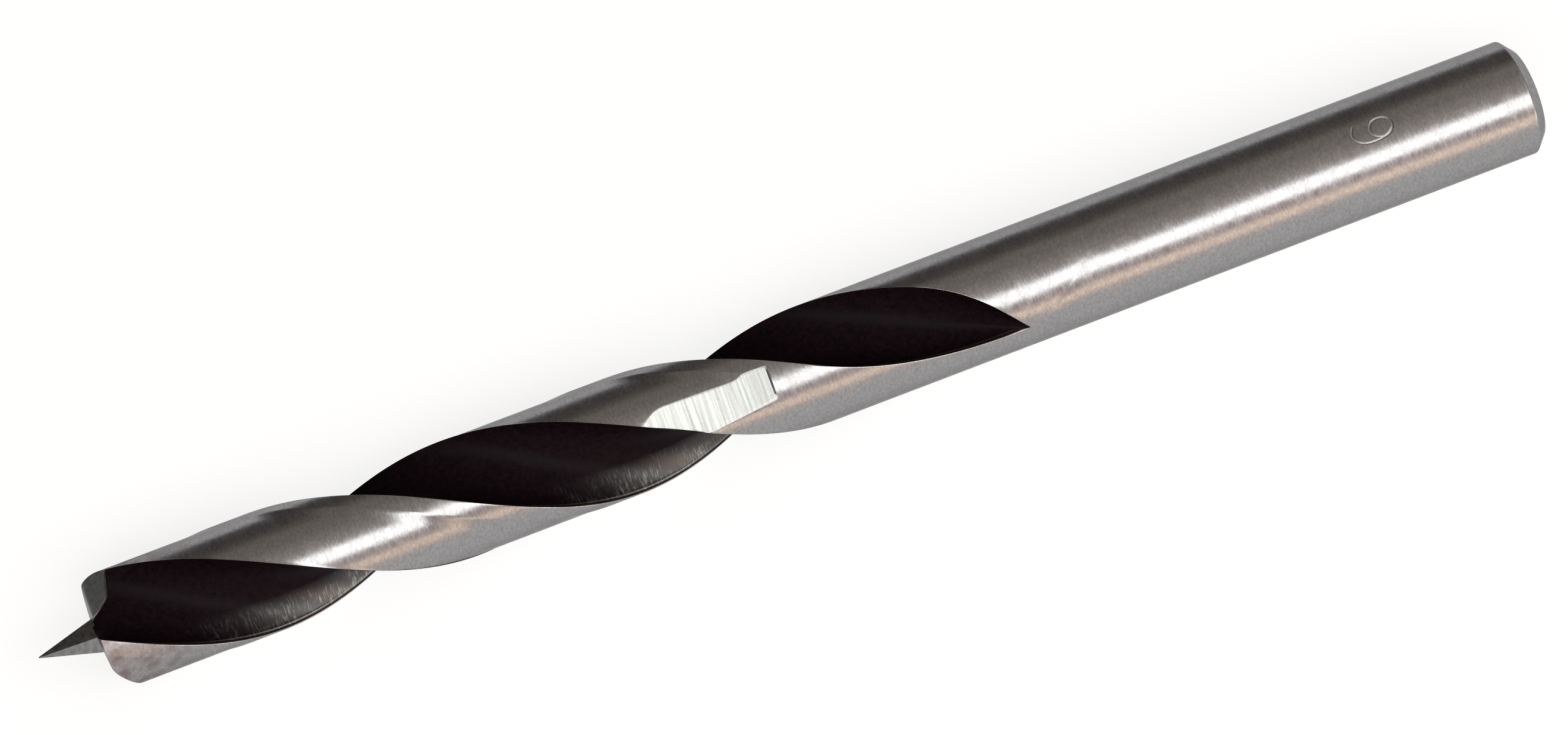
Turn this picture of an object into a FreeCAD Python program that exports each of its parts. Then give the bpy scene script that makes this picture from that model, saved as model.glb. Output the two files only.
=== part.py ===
import FreeCAD, Part
import Sketcher
import math
import os

# A brad-point wood drill bit, made from one round bar of steel.
# It is built upright: the point is at z = 0, the shank end at z = overall_length, and the
# two lips lie along X. At the end it is laid down along +X on the surface that it rests on.

NODE = "drill_bit"

# Alias, value and meaning of each driving dimension (millimetres and degrees).
SIZES = [
    ("shank_diameter", 9.0, "round shank that a chuck grips"),
    ("body_diameter", 9.0, "over the two margins, at the lips"),
    ("back_taper", 0.06, "how much the body narrows from the point to the shank"),
    ("body_length", 79.0, "from the point to where the shank begins"),
    ("overall_length", 120.0, "from the point to the shank end"),
    ("chamfer_length", 0.9, "shank end's chamfer, along the axis"),
    ("chamfer_depth", 1.0, "shank end's chamfer, across the axis"),
    ("point_length", 4.65, "the brad ahead of the lips"),
    ("point_base_width", 2.7, "the brad at the lips, over its edges"),
    ("point_tip_width", 0.12, "the brad's blunt tip, over its edges"),
    ("point_root_length", 0.8, "how far the brad is carried down into the web"),
    ("helix_lead", 57.0, "advance of a flute in one turn, right-hand"),
    ("web_diameter", 2.4, "core left between the two flutes"),
    ("lip_side_angle", 46.0, "from a flute's bottom to its leading edge"),
    ("heel_side_angle", 50.0, "from a flute's bottom to the heel of the next land"),
    ("flute_length", 77.0, "from the point to where a flute has run out"),
    ("runout_length", 14.0, "over which a flute rises out of the bar"),
    ("margin_angle", 17.0, "full-diameter margin behind a leading edge"),
    ("relief_depth", 0.22, "how far a land lies lower behind its margin"),
    ("relief_wheel_width", 11.0, "width of the wheel that ground the relief"),
    ("relief_length", 57.4, "where the relief ends in the mark of the wheel"),
    ("lip_clearance", 4.0, "fall of an end face just behind its lip"),
    ("heel_clearance", 38.0, "fall of an end face towards the heel"),
    ("lip_land_width", 2.5, "from a lip to the fold in its end face"),
    ("roll_angle", 29.5, "turn about the axis in which the bit lies"),
]

RUNOUT_POWER = 1.25      # how a flute rises out of the bar as it ends
TURN_PER_SECTION = 15.0  # degrees of helix from one section of a cutter to the next
REACH = 1.25             # cutters reach out to this many body radii, and their backs
BACK_REACH = 1.6         # to this many
OVERRUN = 3.0            # how far a cutter starts ahead of the point and ends past its cut
LEAST_SWEEP = 0.5        # degrees of round left where the relief ends in a flat


def make_sheet(doc):
    """Writes the driving dimensions into the document's spreadsheet."""
    sheet = doc.addObject("Spreadsheet::Sheet", "Sizes")
    for row, (alias, value, meaning) in enumerate(SIZES, start=1):
        sheet.set("A%d" % row, meaning)
        sheet.set("B%d" % row, str(value))
        sheet.setAlias("B%d" % row, alias)
    doc.recompute()
    return sheet


def plane_of(body, role):
    """Returns one of a body's own origin planes."""
    return next(f for f in body.Origin.OriginFeatures if f.Role == role)


def bind_corner(sketch, line, direction, axis, expression):
    """Holds one coordinate of a line's start to an expression, or to an axis for None."""
    if expression is None:
        sketch.addConstraint(Sketcher.Constraint("PointOnObject", line, 1, axis))
        return
    value = float(sketch.evalExpression(expression))
    if value < 0:
        expression = "-(%s)" % expression
        ends = (line, 1, -1, 1)
    else:
        ends = (-1, 1, line, 1)
    index = sketch.addConstraint(Sketcher.Constraint(direction, *ends, abs(value)))
    sketch.setExpression("Constraints[%d]" % index, expression)


def polygon_sketch(body, name, role, corners, height=None):
    """Draws a closed polygon on an origin plane, with each corner bound to the sheet.

    A corner is a pair of expressions, with None where the corner lies on an axis.
    """
    sketch = body.newObject("Sketcher::SketchObject", name)
    sketch.AttachmentSupport = [(plane_of(body, role), "")]
    sketch.MapMode = "FlatFace"
    if height is not None:
        sketch.setExpression(".AttachmentOffset.Base.z", height)
    at = [[0.0 if e is None else float(sketch.evalExpression(e)) for e in c] for c in corners]
    points = [FreeCAD.Vector(x, y, 0) for x, y in at]
    for start, end in zip(points, points[1:] + points[:1]):
        sketch.addGeometry(Part.LineSegment(start, end), False)
    for line in range(len(points)):
        following = (line + 1) % len(points)
        sketch.addConstraint(Sketcher.Constraint("Coincident", line, 2, following, 1))
    for line, (across, along) in enumerate(corners):
        bind_corner(sketch, line, "DistanceX", -2, across)
        bind_corner(sketch, line, "DistanceY", -1, along)
    body.Document.recompute()
    return sketch


def make_bar(doc):
    """Builds the bar with its chamfered end, its roof-shaped end faces and its brad."""
    body = doc.addObject("PartDesign::Body", "ground_bar")

    body_radius = "Sizes.body_diameter / 2"
    shank_radius = "Sizes.shank_diameter / 2"
    length = "Sizes.overall_length"
    section = polygon_sketch(body, "bar_section", "XZ_Plane", [
        (None, None),
        (body_radius, None),
        (body_radius + " - Sizes.back_taper / 2", "Sizes.body_length"),
        (shank_radius, "Sizes.body_length"),
        (shank_radius, length + " - Sizes.chamfer_length"),
        (shank_radius + " - Sizes.chamfer_depth", length),
        (None, length),
    ])
    bar = body.newObject("PartDesign::Revolution", "bar")
    bar.Profile = section
    bar.ReferenceAxis = (section, ["V_Axis"])
    bar.Angle = 360.0
    doc.recompute()

    # The end faces fall away from the two lips like a roof from its ridge, first gently
    # and then steeply, and the brad stands on the middle of the ridge.
    ridge = "Sizes.point_length"
    fold = "Sizes.lip_land_width"
    eaves = "Sizes.body_diameter"
    fold_height = ridge + " + Sizes.lip_land_width * tan(Sizes.lip_clearance * 1deg)"
    eaves_height = (fold_height + " + (Sizes.body_diameter - Sizes.lip_land_width)"
                    " * tan(Sizes.heel_clearance * 1deg)")
    ahead = "-Sizes.point_length"
    roof = polygon_sketch(body, "end_faces_section", "YZ_Plane", [
        ("-" + eaves, ahead),
        (eaves, ahead),
        (eaves, eaves_height),
        (fold, fold_height),
        (None, ridge),
        ("-" + fold, fold_height),
        ("-" + eaves, eaves_height),
    ])
    end_faces = body.newObject("PartDesign::Pocket", "end_faces")
    end_faces.Profile = roof
    end_faces.Midplane = True
    end_faces.setExpression("Length", "2 * Sizes.body_diameter")
    doc.recompute()

    # The brad is a four-sided pyramid whose edges point along the lips and across them.
    growth = "(Sizes.point_base_width - Sizes.point_tip_width) / Sizes.point_length"
    root = "(Sizes.point_length + Sizes.point_root_length)"
    root_width = "(Sizes.point_tip_width + %s * %s)" % (growth, root)
    tip = square_sketch(body, "brad_tip", "Sizes.point_tip_width / 2", "0")
    base = square_sketch(body, "brad_root", root_width + " / 2", root)
    brad = body.newObject("PartDesign::AdditiveLoft", "brad")
    brad.Profile = tip
    brad.Sections = [base]
    doc.recompute()
    body.Tip = brad
    return body


def square_sketch(body, name, half, height):
    """Draws a square with its corners on the sketch's axes, at a height above the origin."""
    corners = [(half, None), (None, half), ("-" + half, None), (None, "-" + half)]
    return polygon_sketch(body, name, "XY_Plane", corners, height)


def polar(radius, angle):
    """Returns the point at a radius and an angle in degrees about the axis."""
    a = math.radians(angle)
    return FreeCAD.Vector(radius * math.cos(a), radius * math.sin(a), 0)


def placed(edges, turn, z):
    """Closes edges into a wire, turned about the axis and raised to z."""
    wire = Part.Wire(edges)
    wire.Placement = FreeCAD.Placement(FreeCAD.Vector(0, 0, z), FreeCAD.Rotation(turn, 0, 0))
    return wire


def leading_edge_angle(sheet, z):
    """Returns the angle of the first land's leading edge at a height."""
    return 360.0 * (z - sheet.point_length) / sheet.helix_lead


def groove_side(sheet, angle, side):
    """Returns one side of a flute's groove: its radius and three points along it.

    The side is an arc that touches the web at the flute's bottom, on +X, and passes the
    bar's surface at the given angle from there. side is 1 towards the lip and -1 towards
    the heel. The points run outwards from the bottom, past the bar's surface.
    """
    bar = sheet.body_diameter / 2.0
    web = sheet.web_diameter / 2.0
    corner = polar(bar, angle)
    rise = corner.x - web
    radius = (rise ** 2 + corner.y ** 2) / (2.0 * rise)
    middle = web + radius
    reach = REACH * bar
    opening = math.acos((middle ** 2 + radius ** 2 - reach ** 2) / (2.0 * middle * radius))
    return [
        FreeCAD.Vector(middle - radius * math.cos(a), side * radius * math.sin(a), 0)
        for a in (0.0, opening / 2.0, opening)
    ]


def flute_section(sheet, z):
    """Returns the closed outline that a flute's cutter clears at a height."""
    bar = sheet.body_diameter / 2.0
    web = sheet.web_diameter / 2.0
    past = 1.0 - (sheet.flute_length - z) / sheet.runout_length
    lift = (bar - web) * max(past, 0.0) ** RUNOUT_POWER
    out = FreeCAD.Vector(lift, 0, 0)
    lip = [p + out for p in groove_side(sheet, sheet.lip_side_angle, 1)]
    heel = [p + out for p in groove_side(sheet, sheet.heel_side_angle, -1)]
    back = FreeCAD.Vector(BACK_REACH * bar, 0, 0) + out
    edges = [
        Part.Arc(lip[2], lip[1], lip[0]).toShape(),
        Part.Arc(heel[0], heel[1], heel[2]).toShape(),
        Part.Arc(heel[2], back, lip[2]).toShape(),
    ]
    turn = leading_edge_angle(sheet, z) - sheet.lip_side_angle
    return placed(edges, turn, z)


def relief_section(sheet, z, last):
    """Returns the closed outline that the relief wheel clears at a height.

    The wheel touches the land flat behind the margin. Over its own width it has swept
    round by the helix, which leaves a round between a first and a last flat. Past the
    height given as last the wheel didn't travel, so there the last flat is fixed.
    """
    bar = sheet.body_diameter / 2.0
    depth_radius = bar - sheet.relief_depth
    half_flat = math.degrees(math.acos(depth_radius / bar))
    behind = sheet.margin_angle + half_flat
    first = leading_edge_angle(sheet, z) + behind
    travelled = min(z + sheet.relief_wheel_width, last)
    final = leading_edge_angle(sheet, travelled) + behind + LEAST_SWEEP
    sweep = final - first
    run = math.sqrt((REACH * bar) ** 2 - depth_radius ** 2)
    touch_first = polar(depth_radius, 0)
    touch_final = polar(depth_radius, sweep)
    start = touch_first + polar(run, -90)
    end = touch_final + polar(run, sweep + 90)
    edges = [
        Part.LineSegment(start, touch_first).toShape(),
        Part.Arc(touch_first, polar(depth_radius, sweep / 2.0), touch_final).toShape(),
        Part.LineSegment(touch_final, end).toShape(),
        Part.Arc(end, polar(BACK_REACH * bar, sweep / 2.0), start).toShape(),
    ]
    return placed(edges, first, z)


def heights(sheet, start, end):
    """Returns evenly spaced section heights, no further apart than TURN_PER_SECTION."""
    spacing = sheet.helix_lead * TURN_PER_SECTION / 360.0
    count = max(2, math.ceil((end - start) / spacing))
    return [start + (end - start) * i / count for i in range(count + 1)]


def pair_of(doc, name, sections):
    """Lofts a cutter through its sections and adds its copy half a turn round."""
    cutter = doc.addObject("Part::Feature", name)
    cutter.Shape = Part.makeLoft(sections, True, False)
    opposite = doc.addObject("Part::Feature", name + "_opposite")
    opposite.Shape = cutter.Shape.copy()
    opposite.Placement = FreeCAD.Placement(FreeCAD.Vector(), FreeCAD.Rotation(180, 0, 0))
    pair = doc.addObject("Part::Compound", name + "_pair")
    pair.Links = [cutter, opposite]
    return pair


def make_cutters(doc, sheet):
    """Makes what is cut from the bar: two flutes, then the relief of the two lands."""
    flute_heights = heights(sheet, -OVERRUN, sheet.flute_length + OVERRUN)
    last = sheet.relief_length
    plunge = last - sheet.relief_wheel_width
    travel_heights = heights(sheet, -OVERRUN, plunge)
    plunge_heights = heights(sheet, plunge, last)
    return [
        pair_of(doc, "flute", [flute_section(sheet, z) for z in flute_heights]),
        pair_of(doc, "relief", [relief_section(sheet, z, last) for z in travel_heights]),
        pair_of(doc, "plunge", [relief_section(sheet, z, last) for z in plunge_heights]),
    ]


def cut(doc, name, base, tool):
    """Cuts one object from another."""
    result = doc.addObject("Part::Cut", name)
    result.Base = base
    result.Tool = tool
    doc.recompute()
    return result


def check(doc, bit):
    """Stops if an object has failed or the bit isn't one valid solid."""
    failed = [o.Name for o in doc.Objects if "Invalid" in o.State or "Error" in o.State]
    if failed:
        raise RuntimeError("failed: " + ", ".join(failed))
    if bit.Shape.isNull() or not bit.Shape.isValid() or len(bit.Shape.Solids) != 1:
        raise RuntimeError("the bit isn't one valid solid")


doc = FreeCAD.newDocument("wood_drill_bit")
sheet = make_sheet(doc)
shape = make_bar(doc)
for name, cutter in zip(("fluted_bar", "relieved_bar", NODE), make_cutters(doc, sheet)):
    shape = cut(doc, name, shape, cutter)

bit = shape
bit.Label = NODE
bit.setExpression("Placement", (
    "placement(vector(-Sizes.overall_length / 2; 0; Sizes.shank_diameter / 2);"
    " rotation(vector(0; 1; 0); 90) * rotation(vector(0; 0; 1); Sizes.roll_angle))"))
doc.recompute()
check(doc, bit)

os.makedirs("parts", exist_ok=True)
bit.Shape.exportStep(os.path.join("parts", NODE + ".step"))
print("%s: %.1f mm3" % (NODE, bit.Shape.Volume))
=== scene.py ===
import logging
import math
from collections.abc import Callable
from dataclasses import dataclass
from enum import IntEnum
from typing import Union

import bmesh
import bpy
import numpy as np
from mathutils import Matrix, Vector


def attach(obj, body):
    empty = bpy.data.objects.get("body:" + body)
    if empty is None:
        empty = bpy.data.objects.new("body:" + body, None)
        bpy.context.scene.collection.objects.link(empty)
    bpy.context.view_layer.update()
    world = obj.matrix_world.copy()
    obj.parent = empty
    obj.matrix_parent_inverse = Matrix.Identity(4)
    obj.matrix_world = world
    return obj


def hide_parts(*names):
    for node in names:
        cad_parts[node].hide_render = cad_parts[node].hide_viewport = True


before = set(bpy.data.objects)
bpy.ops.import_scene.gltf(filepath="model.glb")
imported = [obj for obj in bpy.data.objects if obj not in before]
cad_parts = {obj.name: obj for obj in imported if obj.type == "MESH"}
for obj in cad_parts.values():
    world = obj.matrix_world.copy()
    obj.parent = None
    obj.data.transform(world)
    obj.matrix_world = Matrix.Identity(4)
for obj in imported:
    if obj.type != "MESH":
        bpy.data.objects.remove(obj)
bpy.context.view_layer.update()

MM = 0.001
MERGE = 0.0005
TINY = 1e-6
LOG = logging.getLogger("drill_bit")
NODE = "drill_bit"
COURSE = "course"

Colour = tuple[float, float, float]
Scale = tuple[float, float, float]
Range = tuple[float, float]
Value = Union[bpy.types.NodeSocket, float, Colour]
Element = Union[bmesh.types.BMEdge, bmesh.types.BMFace]

RISE: Range = (0.0, 1.0)
FALL: Range = (1.0, 0.0)
WHITE: Colour = (1.0, 1.0, 1.0)
UNSCALED: Scale = (1.0, 1.0, 1.0)


class Surface(IntEnum):
    """The finishes of the bit, in the order of its material slots."""

    GROUND = 0
    FLUTE = 1
    FLAT = 2
    POINT = 3
    END = 4


@dataclass(frozen=True)
class BitSizes:
    """The sizes of the bit, in millimetres and degrees.

    The lip and the heel of a flute lie lip_side and heel_side from its bottom. All three
    meet at close_at, in front of the nominal leading edge of the lip.
    """

    diameter: float = 9.0
    length: float = 120.0
    chamfer_length: float = 0.9
    chamfer_depth: float = 1.0
    point_length: float = 4.65
    point_base: float = 2.7
    point_tip: float = 0.12
    helix_lead: float = 57.0
    web: float = 2.4
    lip_side: float = 46.0
    heel_side: float = 50.0
    flute_end: float = 77.3
    runout: float = 14.0
    runout_power: float = 1.5
    lip_close: float = 16.3
    lip_power: float = 1.8
    heel_close: float = 8.6
    heel_power: float = 2.6
    close_at: float = 60.0
    margin: float = 17.0
    relief: float = 0.10
    relief_end: float = 57.4
    relief_turn: float = 24.7
    flat_depth: float = 0.195
    flat_deepen: float = 0.025
    flat_start: float = 45.5
    flat_fade: float = 3.6
    flat_turn: float = 22.6
    flat_swing: float = 0.75
    step: float = 0.10
    roll: float = 29.5
    photo_side: float = 173.88
    edge_round: float = 0.10
    heel_round: float = 0.05
    brad_root: float = 1.9
    end_blend: float = 12.0
    brad_edge: float = 0.05
    smooth_angle: float = 28.0
    chamfer_break: float = 0.09
    flat_show: float = 0.5
    flat_from_edge: float = 2.5
    margin_from_flat: float = 2.0
    end_reach: float = 8.0

    number_stroke: float = 0.14
    number_lift: float = 0.06
    ridge_from_edge: float = 0.36
    ridge_height: float = 0.035
    ridge_width: float = 0.11

    @property
    def radius(self) -> float:
        """Radius of the bar."""
        return self.diameter / 2.0

    @property
    def flat_first(self) -> float:
        """Distance from the point at which the flat mark starts to show."""
        return self.flat_start + self.flat_show


@dataclass(frozen=True)
class EndFace:
    """The end of one land: a land behind the lip, a fall to the heel and a round fold.

    The first plane is at lip, and rises by clearance for each millimetre behind the lip.
    The second plane is at heel on the axis, falls back by inward for each millimetre
    towards the axis, and by behind for each millimetre behind the lip.
    """

    lip: float
    clearance: float
    heel: float
    inward: float
    behind: float
    fold: float

    def height(self, x: np.ndarray, y: np.ndarray) -> np.ndarray:
        """Distance from the point of the end face.

        Args:
            x: distances from the axis along the lip.
            y: distances behind the lip.

        Returns:
            The height of the face at each place.
        """
        first = self.lip + self.clearance * y
        second = self.heel - self.inward * x + self.behind * y
        return (first + second + np.sqrt((first - second) ** 2 + self.fold ** 2)) / 2.0


@dataclass(frozen=True)
class PointShape:
    """The end faces of the two lands and the fillet round the centre point.

    The lands aren't ground alike: the second one falls away sooner and in a wider round.
    Past fillet_reach there is no fillet, and no_fillet stands for its height.
    """

    first: EndFace = EndFace(lip=4.80, clearance=0.02, heel=5.62, inward=0.58, behind=0.18, fold=0.16)
    second: EndFace = EndFace(lip=4.36, clearance=0.0, heel=4.44, inward=0.35, behind=0.5, fold=0.3)
    fillet_radius: float = 1.3
    fillet_height: float = 4.6
    fillet_rise: float = 1.95
    fillet_bend: float = 0.5
    fillet_reach: float = 1.6
    no_fillet: float = 20.0
    divide: float = 46.0

    def height(self, place: np.ndarray) -> np.ndarray:
        """Distance from the point of the end of the bar.

        Args:
            place: points across the axis, in the build position.

        Returns:
            The height of the end at each point.
        """
        x, y = place[..., 0], place[..., 1]
        a = math.radians(self.divide)
        on_first = y * math.cos(a) + x * math.sin(a) >= 0.0
        face = np.where(on_first, self.first.height(x, y), self.second.height(-x, -y))
        out = np.maximum(np.hypot(x, y) - self.fillet_radius, 0.0)
        fillet = self.fillet_height + self.fillet_rise * out - self.fillet_bend * out ** 2
        fillet = np.where(out > self.fillet_reach, self.no_fillet, fillet)
        return np.minimum(face, fillet)


@dataclass(frozen=True)
class StampedNine:
    """The 9 on the shank: a closed loop, and a tail that starts on the loop's side.

    Places are distances from the point and angles about the axis. The loop's points lie
    outside it by the share pull, because a smooth path cuts its corners.
    """

    middle: tuple[float, float] = (107.5, -19.6)
    half_height: float = 0.86
    half_width: float = 9.4
    pull: float = 1.07
    steps: int = 12
    tail: tuple[tuple[float, float], ...] = (
        (108.34, -16.5), (108.05, -12.2), (107.5, -9.4), (106.75, -8.3), (106.0, -9.0),
        (105.45, -12.4), (105.15, -18.0), (105.2, -24.8), (105.55, -30.0),
    )

    def loop(self) -> list[tuple[float, float]]:
        """Places round the loop.

        Returns:
            A distance and an angle for each of its points.
        """
        places = []
        for k in range(self.steps):
            a = 2.0 * math.pi * k / self.steps
            across = self.half_width * math.sin(a) * self.pull
            along = self.half_height * math.cos(a) * self.pull
            places.append((self.middle[0] + along, self.middle[1] + across))
        return places


@dataclass(frozen=True)
class Rings:
    """How the bar's rings lie along it, in millimetres.

    They are step apart along the flutes, and draw together over the last close_length of
    them. The step in the land lies before_step and after_step from its next rings. The
    columns of the shank are evenly spaced from even_length past the flutes. Near the point
    the rings are read from a table of sections, and the rim comes to lie on the end faces
    in settle_rounds rounds. The shares are places along the chamfer and the shank's end.
    """

    step: float = 0.42
    before_step: float = 0.1
    after_step: float = 0.03
    close_length: float = 0.8
    close_power: float = 1.6
    close_count: int = 9
    shank_start: float = 0.4
    shank_end: float = 0.2
    shank_count: int = 30
    even_length: float = 7.0
    table_start: float = 3.6
    table_step: float = 0.1
    settle_rounds: int = 12
    end_count: int = 26
    chamfer_shares: Range = (0.35, 0.65)
    end_shares: tuple[float, ...] = (0.7, 0.35, 0.1)


@dataclass(frozen=True)
class Columns:
    """How many columns of the mesh each stretch of half a section has."""

    margin: int = 12
    relief: int = 24
    flat: int = 16
    heel: int = 12
    heel_edge: int = 4
    heel_wall: int = 28
    lip_wall: int = 24
    ridge: int = 8
    lip_edge: int = 4

    @property
    def half(self) -> int:
        """Number of columns of one land and one flute."""
        return (self.margin + self.relief + self.flat + self.heel + self.heel_edge
                + self.heel_wall + self.lip_wall + self.ridge + self.lip_edge)

    @property
    def land(self) -> int:
        """Number of columns of one land without its edges."""
        return self.margin + self.relief + self.flat + self.heel

def smooth_step(share: float | np.ndarray) -> float | np.ndarray:
    """Eases a share between 0 and 1, so that it's level at both ends."""
    return share * share * (3.0 - 2.0 * share)


def bend(first: np.ndarray, corner: np.ndarray, last: np.ndarray,
         shares: np.ndarray) -> np.ndarray:
    """Finds points of a round from first to last, bent about a corner, at shares of its way."""
    t = shares[:, None]
    return (1 - t) ** 2 * first + 2 * t * (1 - t) * corner + t ** 2 * last


def turned(x: np.ndarray, y: np.ndarray, degrees: float) -> tuple[np.ndarray, np.ndarray]:
    """Turns points, given by their two coordinates, about the axis."""
    a = math.radians(degrees)
    return x * math.cos(a) - y * math.sin(a), x * math.sin(a) + y * math.cos(a)


def deselect() -> None:
    """Leaves nothing selected."""
    bpy.ops.object.select_all(action="DESELECT")


def pick(piece: bpy.types.Object) -> None:
    """Makes a piece the only selected and the active one.

    Args:
        piece: the object to select.
    """
    deselect()
    piece.select_set(True)
    bpy.context.view_layer.objects.active = piece


def clean(piece: bpy.types.Object, shortest: float = 0.0) -> None:
    """Merges a piece's doubles and turns its faces outwards.

    Args:
        piece: the piece to clean.
        shortest: length under which an edge is dissolved, or 0 to keep them all.
    """
    pick(piece)
    bpy.ops.object.mode_set(mode="EDIT")
    bpy.ops.mesh.select_all(action="SELECT")
    bpy.ops.mesh.remove_doubles(threshold=MERGE)
    if shortest > 0.0:
        bpy.ops.mesh.dissolve_degenerate(threshold=shortest)
    bpy.ops.mesh.normals_make_consistent(inside=False)
    bpy.ops.object.mode_set(mode="OBJECT")


def select_where(piece: bpy.types.Object, kind: str, test: Callable[[Element], bool]) -> int:
    """Selects the edges or faces that pass a test, in edit mode.

    Args:
        piece: the piece that is being edited.
        kind: "EDGE" or "FACE".
        test: tells whether an edge or a face is wanted.

    Returns:
        How many vertices the piece has.
    """
    bpy.ops.mesh.select_mode(type=kind)
    bpy.ops.mesh.select_all(action="DESELECT")
    work = bmesh.from_edit_mesh(piece.data)
    for element in work.edges if kind == "EDGE" else work.faces:
        if test(element):
            element.select_set(True)
    work.select_flush_mode()
    bmesh.update_edit_mesh(piece.data)
    return len(work.verts)


def extrude_to(shift: float, scale: float, height: float) -> None:
    """Extrudes the selected rim by a shift to its new height, and scales it about the axis."""
    bpy.ops.mesh.extrude_region_move(TRANSFORM_OT_translate={"value": (0, 0, shift)})
    bpy.ops.transform.resize(value=(scale, scale, 1.0), center_override=(0.0, 0.0, height))


def combine(piece: bpy.types.Object, other: bpy.types.Object, operation: str,
            surface: Surface) -> None:
    """Joins a second piece to a piece, or cuts it out of it, and removes the second one.

    Args:
        piece: the piece that stays.
        other: the second piece.
        operation: "UNION" or "DIFFERENCE".
        surface: the finish of the second piece's faces.
    """
    while other.data.uv_layers:
        other.data.uv_layers.remove(other.data.uv_layers[0])
    for material in piece.data.materials:
        other.data.materials.append(material)
    for face in other.data.polygons:
        face.material_index = surface
    pick(piece)
    change = piece.modifiers.new("combine", "BOOLEAN")
    change.operation = operation
    change.solver = "MANIFOLD"
    change.object = other
    bpy.ops.object.modifier_apply(modifier=change.name)
    bpy.data.objects.remove(other)


class Tree:
    """A node tree, with short ways to add and join its nodes."""

    def __init__(self, tree: bpy.types.NodeTree) -> None:
        """Keeps the nodes and links of a material's or the world's tree."""
        self.nodes, self.links = tree.nodes, tree.links

    def add(self, kind: str, *values: Value, **options: object) -> bpy.types.Node:
        """Adds a node, sets its options and fills its first sockets.

        Args:
            kind: the node's type after "ShaderNode".
            values: an output or a plain value for each of the first sockets.
            options: options of the node by name.

        Returns:
            The node.
        """
        node = self.nodes.new("ShaderNode" + kind)
        for name, option in options.items():
            setattr(node, name, option)
        for value, socket in zip(values, node.inputs):
            self.join(value, socket)
        return node

    def join(self, value: Value, socket: bpy.types.NodeSocket) -> None:
        """Links an output to a socket, or sets the socket to a plain value.

        Args:
            value: an output, a number, a colour or a scale.
            socket: the socket that gets it.
        """
        if isinstance(value, bpy.types.NodeSocket):
            self.links.new(value, socket)
        elif socket.type == "RGBA":
            socket.default_value = (*value, 1.0)
        else:
            socket.default_value = value

    def math(self, operation: str, *values: Value) -> bpy.types.NodeSocket:
        """Adds a maths node on one or two values, and returns its output."""
        return self.add("Math", *values, operation=operation).outputs[0]

    def axis(self, vector: bpy.types.NodeSocket, name: str) -> bpy.types.NodeSocket:
        """Takes one axis of a vector: "X", "Y" or "Z"."""
        return self.add("SeparateXYZ", vector).outputs[name]

    def ramp(self, value: bpy.types.NodeSocket,
             stops: tuple[tuple[float, Colour], ...]) -> bpy.types.NodeSocket:
        """Adds a colour ramp.

        Args:
            value: the place on the ramp, from 0 to 1.
            stops: the place and the colour of each stop, in their order.

        Returns:
            The colour at that place.
        """
        node = self.add("ValToRGB", value)
        elements = node.color_ramp.elements
        while len(elements) < len(stops):
            elements.new(0.5)
        for element, (at, colour) in zip(elements, stops):
            element.position = at
            element.color = (*colour, 1.0)
        return node.outputs[0]


class Net(Tree):
    """A material's node tree, with ways to make its patterns and to dress its shader."""

    def __init__(self, name: str) -> None:
        """Makes a material with a shader and an output.

        Args:
            name: the material's name.
        """
        self.material = bpy.data.materials.new(name)
        self.material.use_nodes = True
        super().__init__(self.material.node_tree)
        self.shader = self.nodes["Principled BSDF"]

    def place(self, scale: Scale) -> bpy.types.NodeSocket:
        """Takes Object coordinates, scaled along each axis.

        Args:
            scale: scale along X, Y and Z, in steps for each metre.

        Returns:
            The scaled coordinates.
        """
        mapping = self.add("Mapping", self.add("TexCoord").outputs["Object"])
        self.join(scale, mapping.inputs["Scale"])
        return mapping.outputs[0]

    def course(self, axis: str) -> bpy.types.NodeSocket:
        """Takes the UV map's X, the share of the length, or its Y, across land and flute."""
        return self.axis(self.add("UVMap", uv_map=COURSE).outputs[0], axis)

    def noise(self, scale: Scale, detail: float = 2.0,
              rough: float = 0.5) -> bpy.types.NodeSocket:
        """Adds a noise texture on Object coordinates.

        Args:
            scale: scale along X, Y and Z, in steps for each metre.
            detail: the number of finer layers.
            rough: the strength of the finer layers.

        Returns:
            The noise, between 0 and 1.
        """
        node = self.add("TexNoise", self.place(scale))
        for name, value in (("Scale", 1.0), ("Detail", detail), ("Roughness", rough)):
            self.join(value, node.inputs[name])
        return node.outputs["Fac"]

    def spread(self, value: Value, source: Range, target: Range = RISE) -> bpy.types.NodeSocket:
        """Maps a value from one range to another, and keeps it within it."""
        return self.add("MapRange", value, *source, *target).outputs[0]

    def mix(self, share: Value, first: Value, second: Value) -> bpy.types.NodeSocket:
        """Mixes two colours.

        Args:
            share: the share of the second colour.
            first: the first colour.
            second: the second colour.

        Returns:
            The mixed colour.
        """
        node = self.add("Mix", share, data_type="RGBA")
        self.join(first, node.inputs[6])
        self.join(second, node.inputs[7])
        return node.outputs[2]

    def dress(self, colour: Value, rough: Value, metal: Value) -> None:
        """Sets the shader's colour, its roughness and its share of metal."""
        for name, value in (("Base Color", colour), ("Roughness", rough), ("Metallic", metal)):
            self.join(value, self.shader.inputs[name])

    def bump(self, height: bpy.types.NodeSocket, depth: float) -> None:
        """Gives the shader a relief.

        Args:
            height: the height texture, from 0 to 1.
            depth: its height in metres.
        """
        node = self.add("Bump")
        for name, value in (("Strength", 1.0), ("Distance", depth), ("Height", height)):
            self.join(value, node.inputs[name])
        self.join(node.outputs[0], self.shader.inputs["Normal"])


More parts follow.
